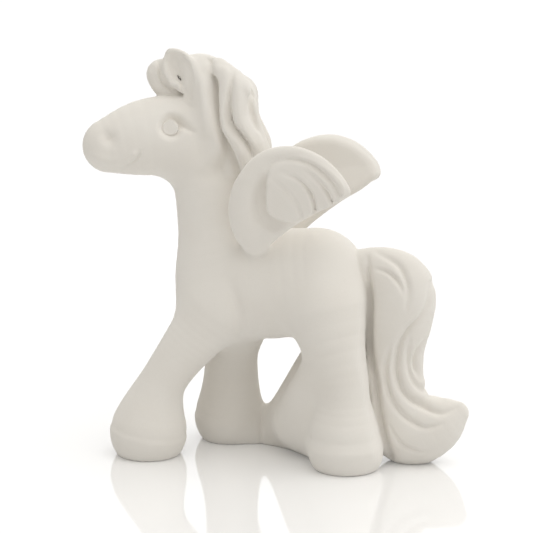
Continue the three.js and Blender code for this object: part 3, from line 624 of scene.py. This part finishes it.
def sculpt():
    """The whole figurine in clay, cut level at the floor. The fine marks are engraved later."""
    clay = Clay(CLAY_LOW, CLAY_HIGH, CELL)
    head_and_body(clay)
    tail(clay)
    wing(clay, LEFT_WING, LEFT)
    wing(clay, RIGHT_WING, RIGHT)
    ear(clay, LEFT_EAR, LEFT)
    ear(clay, RIGHT_EAR, RIGHT)
    mane(clay)
    forelock(clay)
    for side in (LEFT, RIGHT):
        for rows in (CHEEK_RIDGE, CHEEK_EDGE):
            clay.press(groove(rows, HEAD, HEAD_WIDTH, only_out=CHEEK_FROM, side=side))
    height = clay.low[2] + clay.cell * np.arange(clay.distance.shape[2])
    clay.distance = np.maximum(clay.distance, -height.astype(np.float32)[None, None, :])
    return clay


def hair_and_feather_marks():
    """The tools that are pressed into the tail and both wings."""
    for rows in TAIL_GROOVES:
        yield groove(rows, y_range=(-14, 14))
    for side in (LEFT, RIGHT):
        for rows in (RIM_GROOVE, *FEATHER_LINES):
            yield groove(rows, wing_space(side), WING_MARKS_SPAN, only_out=0.5)


# The clay's skin, as a mesh
def settle(values, cell):
    """Where the four corners of a grid face lie in and out by turns, the skin could pass either way.
    The outer corner nearest to the skin is filled there, until no such face is left."""
    for u, w in ((0, 1), (1, 2), (2, 0)) * 3:
        ring = []
        for du, dw in ((0, 0), (1, 0), (1, 1), (0, 1)):
            part = [slice(None)] * 3
            part[u] = slice(du, values.shape[u] - 1 + du)
            part[w] = slice(dw, values.shape[w] - 1 + dw)
            ring.append(tuple(part))
        side = [values[part] < 0 for part in ring]
        for place in np.argwhere((side[0] != side[1]) & (side[1] != side[2]) & (side[2] != side[3])):
            corners = []
            for du, dw in ((0, 0), (1, 0), (1, 1), (0, 1)):
                corner = place.copy()
                corner[u] += du
                corner[w] += dw
                corners.append(tuple(corner))
            outer = [corner for corner in corners if values[corner] >= 0]
            values[min(outer, key=lambda corner: values[corner])] = -0.05 * cell


def sample(values, low, cell, points):
    """Values of a grid between its points."""
    q = (points - low) / cell
    base = np.clip(np.floor(q).astype(int), 0, np.array(values.shape) - 2)
    t = q - base
    result = 0
    for i in (0, 1):
        for j in (0, 1):
            for k in (0, 1):
                share = (t[:, 0] if i else 1 - t[:, 0]) * (t[:, 1] if j else 1 - t[:, 1])
                share = share * (t[:, 2] if k else 1 - t[:, 2])
                result = result + share * values[base[:, 0] + i, base[:, 1] + j, base[:, 2] + k]
    return result


def skin(clay):
    """Turns the clay's skin into a closed mesh of quads: one vertex in each cell that it crosses, and
    one quad round each grid edge that it crosses. Two small moves then bring each vertex nearer to the
    true skin."""
    values, cell, low = clay.distance, clay.cell, clay.low
    settle(values, cell)
    shape = values.shape
    strides = np.array([shape[1] * shape[2], shape[2], 1])
    inside = values < 0
    edges, crossings = [], []
    for axis in range(3):
        first = tuple(slice(0, -1) if i == axis else slice(None) for i in range(3))
        second = tuple(slice(1, None) if i == axis else slice(None) for i in range(3))
        start = np.argwhere(inside[first] != inside[second])
        a, b = values[first][tuple(start.T)], values[second][tuple(start.T)]
        point = start.astype(float)
        point[:, axis] += a / (a - b)
        others = [(axis + 1) % 3, (axis + 2) % 3]
        ring = []
        for du, dw in ((-1, -1), (0, -1), (0, 0), (-1, 0)):
            cells = start.copy()
            cells[:, others[0]] += du
            cells[:, others[1]] += dw
            ring.append(cells @ strides)
        edges.append((np.stack(ring, 1), a < 0))
        crossings.append((np.concatenate(ring), np.tile(point, (4, 1))))
    cells = np.concatenate([c for c, _ in crossings])
    points = np.concatenate([p for _, p in crossings])
    used, place = np.unique(cells, return_inverse=True)
    count = np.bincount(place)
    vertices = np.stack([np.bincount(place, points[:, i]) / count for i in range(3)], 1) * cell + low
    quads = []
    for ring, outward in edges:
        index = np.searchsorted(used, ring)
        quads.append(np.where(outward[:, None], index, index[:, ::-1]))
    quads = np.concatenate(quads)
    slope = np.gradient(values, cell)
    for _ in range(2):
        d = sample(values, low, cell, vertices)
        g = np.stack([sample(s, low, cell, vertices) for s in slope], 1)
        move = d / np.maximum((g * g).sum(1), 0.2)
        flat = vertices[:, 2] < cell * 0.5
        move[flat] = 0
        vertices -= np.clip(move, -0.3 * cell, 0.3 * cell)[:, None] * g
    return vertices, quads


# Pieces: the body is parted by the planes that its castings are luted along, and what is set onto
# the body by the form that each place belongs to. NECK_CUT and THROAT_CUT are x and z of a point on a
# plane, and CUT_ACROSS and CUT_UP the slant of the cuts at the neck and the legs. LEG_TOP is the height
# of the legs' cuts in the middle plane, and LEGS_PART the x between the fore and the hind legs at the
# height of the feet.
NECK_CUT, THROAT_CUT, LEG_TOP = (-12, 78.5), (-15, 104.5), 36
CUT_ACROSS, CUT_UP = 0.42, 0.91
LEGS_PART, LEGS_PART_LEAN = -1.5, 0.2
NEIGHBOUR_VOTES, OWN_VOTES, VOTE_ROUNDS = 2, 3, 6
BODY_PIECES = ["torso", "neck", "head", *LEGS]
SET_PIECES = {
    TAIL_HAIR: "tail", LEFT_WING: "left_wing", RIGHT_WING: "right_wing", LEFT_EAR: "left_ear",
    RIGHT_EAR: "right_ear", MANE: "mane", FORELOCK: "forelock",
}
NAMES = BODY_PIECES + list(SET_PIECES.values())


def body_piece(points):
    """The numbers in BODY_PIECES of the castings that points in millimetres belong to."""
    x, y, z = points.T
    piece = np.full(len(points), BODY_PIECES.index("torso"))
    above_neck_cut = -CUT_ACROSS * (x - NECK_CUT[0]) + CUT_UP * (z - NECK_CUT[1]) > 0
    beyond_throat = -(x - THROAT_CUT[0]) + (z - THROAT_CUT[1]) > 0
    piece[above_neck_cut] = BODY_PIECES.index("neck")
    piece[beyond_throat] = BODY_PIECES.index("head")
    below = CUT_ACROSS * np.abs(y) - CUT_UP * (z - LEG_TOP) > 0
    fore = (x - LEGS_PART) - LEGS_PART_LEAN * (z - FOOT_HEIGHT) < 0
    legs = {name: BODY_PIECES.index(name) for name in LEGS}
    foreleg = np.where(y < 0, legs["left_foreleg"], legs["right_foreleg"])
    hind_leg = np.where(y < 0, legs["left_hind_leg"], legs["right_hind_leg"])
    return np.where(below & ~above_neck_cut, np.where(fore, foreleg, hind_leg), piece)


def neighbours(quads):
    """Pairs of quads that share an edge, as two lists."""
    a = quads.ravel()
    b = np.roll(quads, -1, 1).ravel()
    face = np.repeat(np.arange(len(quads)), 4)
    key = np.stack([np.minimum(a, b), np.maximum(a, b)], 1)
    order = np.lexsort((key[:, 1], key[:, 0]))
    key, face = key[order], face[order]
    same = (key[1:] == key[:-1]).all(1)
    return face[:-1][same], face[1:][same]


def largest_part(member, one, two):
    """Which of the faces in member are in its largest connected part."""
    root = np.where(member, np.arange(len(member)), -1)
    link = member[one] & member[two]
    a, b = one[link], two[link]
    while True:
        low = np.minimum(root[a], root[b])
        before = root.copy()
        np.minimum.at(root, a, low)
        np.minimum.at(root, b, low)
        root[member] = root[root[member]]
        if (root == before).all():
            break
    names, count = np.unique(root[member], return_counts=True)
    return root == names[count.argmax()]


def part_faces(clay, vertices, quads):
    """The number in NAMES of each face's piece. Rounds of votes among neighbours smooth the borders, and
    a stray patch goes to the piece beside it."""
    middle = vertices[quads].mean(1)
    place = np.round((middle - clay.low) / clay.cell).astype(int)
    owner = clay.owner[tuple(place.T)]
    piece = body_piece(middle)
    for number, name in SET_PIECES.items():
        piece[owner == number] = NAMES.index(name)
    one, two = neighbours(quads)
    for _ in range(VOTE_ROUNDS):
        votes = np.zeros((len(quads), len(NAMES)), int)
        np.add.at(votes, (one, piece[two]), NEIGHBOUR_VOTES)
        np.add.at(votes, (two, piece[one]), NEIGHBOUR_VOTES)
        votes[np.arange(len(quads)), piece] += OWN_VOTES
        piece = votes.argmax(1)
    stray = np.zeros(len(quads), bool)
    for number in range(len(NAMES)):
        member = piece == number
        if member.any():
            stray |= member & ~largest_part(member, one, two)
    left = len(quads) + 1
    while left > stray.sum() > 0:
        left = stray.sum()
        for a, b in ((one, two), (two, one)):
            take = stray[a] & ~stray[b]
            piece[a[take]] = piece[b[take]]
            stray[a[take]] = False
    return piece


def total_depth(tools, points):
    """How deep all tools together mark the skin at points."""
    depth = np.zeros(len(points))
    for (low, high), depth_at in tools:
        near = ((points > low) & (points < high)).all(1)
        depth[near] += depth_at(*points[near].T)
    return depth


def refine(vertices, normals, faces, owners, tools):
    """Splits each quad that the tools mark by more than SPLIT_FROM into four. A face beside them takes up
    the new corners."""
    chosen = np.array([len(f) == 4 for f in faces])
    middle = vertices[np.array([f for f in faces if len(f) == 4])].mean(1)
    chosen[chosen] = np.abs(total_depth(tools, middle)) > SPLIT_FROM
    corner = {}
    ends = []

    def between(*ring):
        key = tuple(sorted(ring))
        if key not in corner:
            corner[key] = len(vertices) + len(ends)
            ends.append(ring)
        return corner[key]

    for f, split in zip(faces, chosen):
        if split:
            for u, w in zip(f, f[1:] + f[:1]):
                between(u, w)
    new_faces, new_owners = [], []
    for f, split, owner in zip(faces, chosen, owners):
        if split:
            heart = between(*f)
            for before, here, after in zip(f[-1:] + f[:-1], f, f[1:] + f[:1]):
                new_faces.append([heart, between(before, here), here, between(here, after)])
            new_owners += [owner] * 4
        else:
            ring = []
            for u, w in zip(f, f[1:] + f[:1]):
                ring.append(u)
                if (min(u, w), max(u, w)) in corner:
                    ring.append(corner[min(u, w), max(u, w)])
            new_faces.append(ring)
            new_owners.append(owner)
    more = np.array([vertices[list(ring)].mean(0) for ring in ends])
    more_normals = np.array([normals[list(ring)].mean(0) for ring in ends])
    more_normals /= np.linalg.norm(more_normals, axis=1)[:, None]
    return np.vstack([vertices, more]), np.vstack([normals, more_normals]), new_faces, np.array(new_owners)


def engrave(vertices, normals, tools):
    """Moves each vertex in by the tools' depth and turns its normal with the marks' slopes."""
    depth = total_depth(tools, vertices)
    marked = np.abs(depth) > 1e-4
    here, normal, depth = vertices[marked], normals[marked], depth[marked]
    slope = np.stack([
        (total_depth(tools, here + SLOPE_STEP * axis) - depth) / SLOPE_STEP for axis in np.eye(3)
    ], 1)
    slope -= (slope * normal).sum(1)[:, None] * normal
    turned = normal + slope
    moved, new_normals = vertices.copy(), normals.copy()
    moved[marked] = here - depth[:, None] * normal
    new_normals[marked] = turned / np.linalg.norm(turned, axis=1)[:, None]
    return moved, new_normals


def boundary_loops(faces):
    """Closed loops of vertices round the open edges of a mesh, in the order that a lid needs."""
    there = {(u, w) for f in faces for u, w in zip(f, f[1:] + f[:1])}
    following = {}
    for u, w in sorted(there):
        if (w, u) not in there:
            following.setdefault(w, []).append(u)
    loops = []
    while following:
        start = next(iter(following))
        loop, here = [], start
        while True:
            loop.append(here)
            ways = following[here]
            going = ways.pop()
            if not ways:
                del following[here]
            here = going
            if here == start:
                break
        loops.append(loop)
    return loops


def make_piece(name, vertices, normals, faces, material):
    """A closed mesh of one piece: its skin, and a lid inside the clay over each cut."""
    lids = []
    for loop in boundary_loops(faces):
        first = len(vertices)
        ring = vertices[loop] - LID_DEPTH * normals[loop]
        vertices = np.vstack([vertices, ring, ring.mean(0)[None]])
        normals = np.vstack([normals, normals[loop], normals[loop].mean(0)[None]])
        inner = list(range(first, first + len(loop)))
        following = inner[1:] + inner[:1]
        for u, w, v, x in zip(loop, loop[1:] + loop[:1], following, inner):
            lids += [[u, w, v], [u, v, x], [x, v, first + len(loop)]]
    faces = faces + lids
    used = np.array(sorted({corner for f in faces for corner in f}))
    lookup = dict(zip(used.tolist(), range(len(used))))
    mesh = bpy.data.meshes.new(name + "_skin")
    mesh.from_pydata(((vertices[used] - ORIGIN) * MM).tolist(), [], [[lookup[i] for i in f] for f in faces])
    mesh.polygons.foreach_set("use_smooth", [True] * len(mesh.polygons))
    mesh.normals_split_custom_set_from_vertices(normals[used].tolist())
    mesh.materials.append(material)
    piece = bpy.data.objects.new(name + "_clay", mesh)
    bpy.context.scene.collection.objects.link(piece)
    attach(piece, "root")
    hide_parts(name)
    return piece


def vertex_normals(vertices, quads):
    corner = vertices[quads]
    face = np.cross(corner[:, 2] - corner[:, 0], corner[:, 3] - corner[:, 1])
    normals = np.zeros_like(vertices)
    for i in range(4):
        np.add.at(normals, quads[:, i], face)
    return normals / np.maximum(np.linalg.norm(normals, axis=1), 1e-12)[:, None]


# Materials, table and light
CLAY_DARK, CLAY_LIGHT, SPECK = (0.835, 0.806, 0.757, 1), (0.86, 0.836, 0.792, 1), (0.70, 0.65, 0.58, 1)
ACRYLIC = (0.93, 0.93, 0.93, 1)
WHITE = (1, 1, 1)

# The table: half its width in metres, and how much white the camera sees added to it
TABLE_REACH, TABLE_LIFT = 6.0, 0.1

# The light tent's colour, and how much brighter it is along each axis of the shared frame
TENT_COLOUR = (0.54, 0.524, 0.494)
TENT_SLOPE = (0.2, 0.0, 0.51)

# A wide lamp above the tail's side: where it shines from, its strength and its angular size
KEY_FROM = (0.38, -0.06, 0.92)
KEY_STRENGTH = 0.66
KEY_WIDTH = math.radians(50)


class Nodes:
    """Short ways to add and link the nodes of one tree."""

    def __init__(self, tree):
        self.tree = tree

    def set(self, socket, value):
        if isinstance(value, bpy.types.NodeSocket):
            self.tree.links.new(value, socket)
        else:
            socket.default_value = value

    def fill(self, node, inputs):
        """Sets or links a node's inputs, by name or number."""
        for key, value in inputs.items():
            self.set(node.inputs[key], value)

    def add(self, kind, inputs=None, **settings):
        node = self.tree.nodes.new(kind)
        for key, value in settings.items():
            setattr(node, key, value)
        self.fill(node, inputs or {})
        return node

    def noise(self, place, scale, detail):
        inputs = {"Vector": place, "Scale": scale, "Detail": detail, "Roughness": 0.5}
        return self.add("ShaderNodeTexNoise", inputs).outputs["Fac"]

    def ramp(self, value, low, high, out_low=0.0, out_high=1.0):
        inputs = {"Value": value, "From Min": low, "From Max": high, "To Min": out_low, "To Max": out_high}
        return self.add("ShaderNodeMapRange", inputs).outputs["Result"]

    def mix(self, share, a, b, kind="RGBA"):
        node = self.add("ShaderNodeMix", data_type=kind)
        for key, value in (("Factor", share), ("A", a), ("B", b)):
            self.set(next(s for s in node.inputs if s.name == key and s.enabled), value)
        return next(s for s in node.outputs if s.enabled)

    def bump(self, height, strength, distance, inputs=None):
        inputs = {"Height": height, "Strength": strength, "Distance": distance, **(inputs or {})}
        return self.add("ShaderNodeBump", inputs).outputs["Normal"]


def new_material(name):
    """A new material, its nodes and its shader."""
    material = bpy.data.materials.new(name)
    material.use_nodes = True
    return material, Nodes(material.node_tree), material.node_tree.nodes["Principled BSDF"]


def bisque():
    """Unglazed fired clay: chalky, warm white, with faint clouds of colour, sponge marks and grain."""
    material, n, shader = new_material("bisque_clay")
    place = n.add("ShaderNodeTexCoord").outputs["Object"]
    clouds = n.noise(place, scale=45, detail=3)
    specks = n.ramp(n.noise(place, scale=2600, detail=1), 0.62, 0.72, 0, 0.12)
    wiped = n.bump(n.noise(place, scale=260, detail=2), 0.12, 0.0006)
    n.fill(shader, {
        "Base Color": n.mix(specks, n.mix(n.ramp(clouds, 0.3, 0.7), CLAY_DARK, CLAY_LIGHT), SPECK),
        "Roughness": n.ramp(clouds, 0.3, 0.7, 0.86, 0.94),
        "Specular IOR Level": 0.25,
        "Diffuse Roughness": 0.6,
        "Normal": n.bump(n.noise(place, scale=2400, detail=3), 0.10, 0.0001, {"Normal": wiped}),
    })
    return material


def table_top():
    """White acrylic. What the camera sees of it is lifted to white, and shadows and reflections stay."""
    material, n, shader = new_material("table_top")
    seen = n.add("ShaderNodeLightPath").outputs["Is Camera Ray"]
    n.fill(shader, {
        "Base Color": ACRYLIC,
        "Roughness": 0.08,
        "IOR": 1.5,
        "Coat Weight": 1.0,
        "Coat Roughness": 0.05,
        "Emission Color": (*WHITE, 1),
        "Emission Strength": n.ramp(seen, 0, 1, 0, TABLE_LIFT),
    })
    return material


def table():
    mesh = bpy.data.meshes.new("table_top")
    corners = [(x * TABLE_REACH, y * TABLE_REACH, 0) for x, y in ((-1, -1), (1, -1), (1, 1), (-1, 1))]
    mesh.from_pydata(corners, [], [(0, 1, 2, 3)])
    mesh.materials.append(table_top())
    floor = bpy.data.objects.new("table_top", mesh)
    bpy.context.scene.collection.objects.link(floor)


def tent():
    """A soft light tent, brighter from above and from the tail's side. The camera and reflections see
    it white."""
    world = bpy.data.worlds.new("studio")
    bpy.context.scene.world = world
    world.use_nodes = True
    n = Nodes(world.node_tree)
    path = n.add("ShaderNodeLightPath").outputs
    seen = n.add("ShaderNodeMath", {0: path["Is Camera Ray"], 1: path["Is Glossy Ray"]}, operation="MAXIMUM")
    direction = n.add("ShaderNodeTexCoord").outputs["Generated"]
    slope = n.add("ShaderNodeVectorMath", {0: direction, 1: TENT_SLOPE}, operation="DOT_PRODUCT")
    cloth = n.add("ShaderNodeVectorMath", {0: slope.outputs["Value"], 1: TENT_COLOUR}, operation="ADD")
    shown = n.mix(seen.outputs["Value"], cloth.outputs["Vector"], WHITE, kind="VECTOR")
    n.fill(world.node_tree.nodes["Background"], {"Color": shown, "Strength": 1.0})


def key_lamp():
    data = bpy.data.lights.new("key", "SUN")
    data.energy = KEY_STRENGTH
    data.angle = KEY_WIDTH
    lamp = bpy.data.objects.new("key", data)
    lamp.rotation_mode = "QUATERNION"
    lamp.rotation_quaternion = Vector(KEY_FROM).to_track_quat("Z", "Y")
    bpy.context.scene.collection.objects.link(lamp)


# Camera: it stands towards the tail and above, looks at a point of the sculpting frame, and has the
# focal length in pixels that fits a picture of the given width. The sensor is in millimetres.
AZIMUTH, ELEVATION, DISTANCE = math.radians(14), math.radians(12), 0.8
TARGET = [0, 15, 65]
SENSOR, PICTURE_WIDTH, FOCAL_PIXELS = 36, 533, 2200
CLIP_START, CLIP_END = 0.01, 50


def camera():
    level = math.cos(ELEVATION)
    back = np.array([math.sin(AZIMUTH) * level, -math.cos(AZIMUTH) * level, math.sin(ELEVATION)])
    data = bpy.data.cameras.new("camera")
    data.sensor_width = SENSOR
    data.lens = SENSOR * FOCAL_PIXELS / PICTURE_WIDTH
    data.clip_start, data.clip_end = CLIP_START, CLIP_END
    cam = bpy.data.objects.new("camera", data)
    cam.location = (TARGET - ORIGIN) * MM + back * DISTANCE
    cam.rotation_mode = "QUATERNION"
    cam.rotation_quaternion = Vector(-back).to_track_quat("-Z", "Y")
    bpy.context.scene.collection.objects.link(cam)
    bpy.context.scene.camera = cam


def figurine():
    """Sculpts the clay, engraves the fine marks and parts the skin into the pieces."""
    clay = sculpt()
    points, quads = skin(clay)
    quads = quads[largest_part(np.ones(len(quads), bool), *neighbours(quads))]
    normals = vertex_normals(points, quads)
    owners = part_faces(clay, points, quads)
    faces = quads.tolist()
    face_tools = list(face_marks())
    tools = face_tools + list(hair_and_feather_marks())
    for marks in (tools, face_tools):
        points, normals, faces, owners = refine(points, normals, faces, owners, marks)
    points, normals = engrave(points, normals, tools)
    material = bisque()
    for number, name in enumerate(NAMES):
        own = [faces[i] for i in np.flatnonzero(owners == number)]
        make_piece(name, points, normals, own, material)


figurine()
table()
tent()
key_lamp()
camera()
bpy.context.scene.view_settings.view_transform = "Standard"
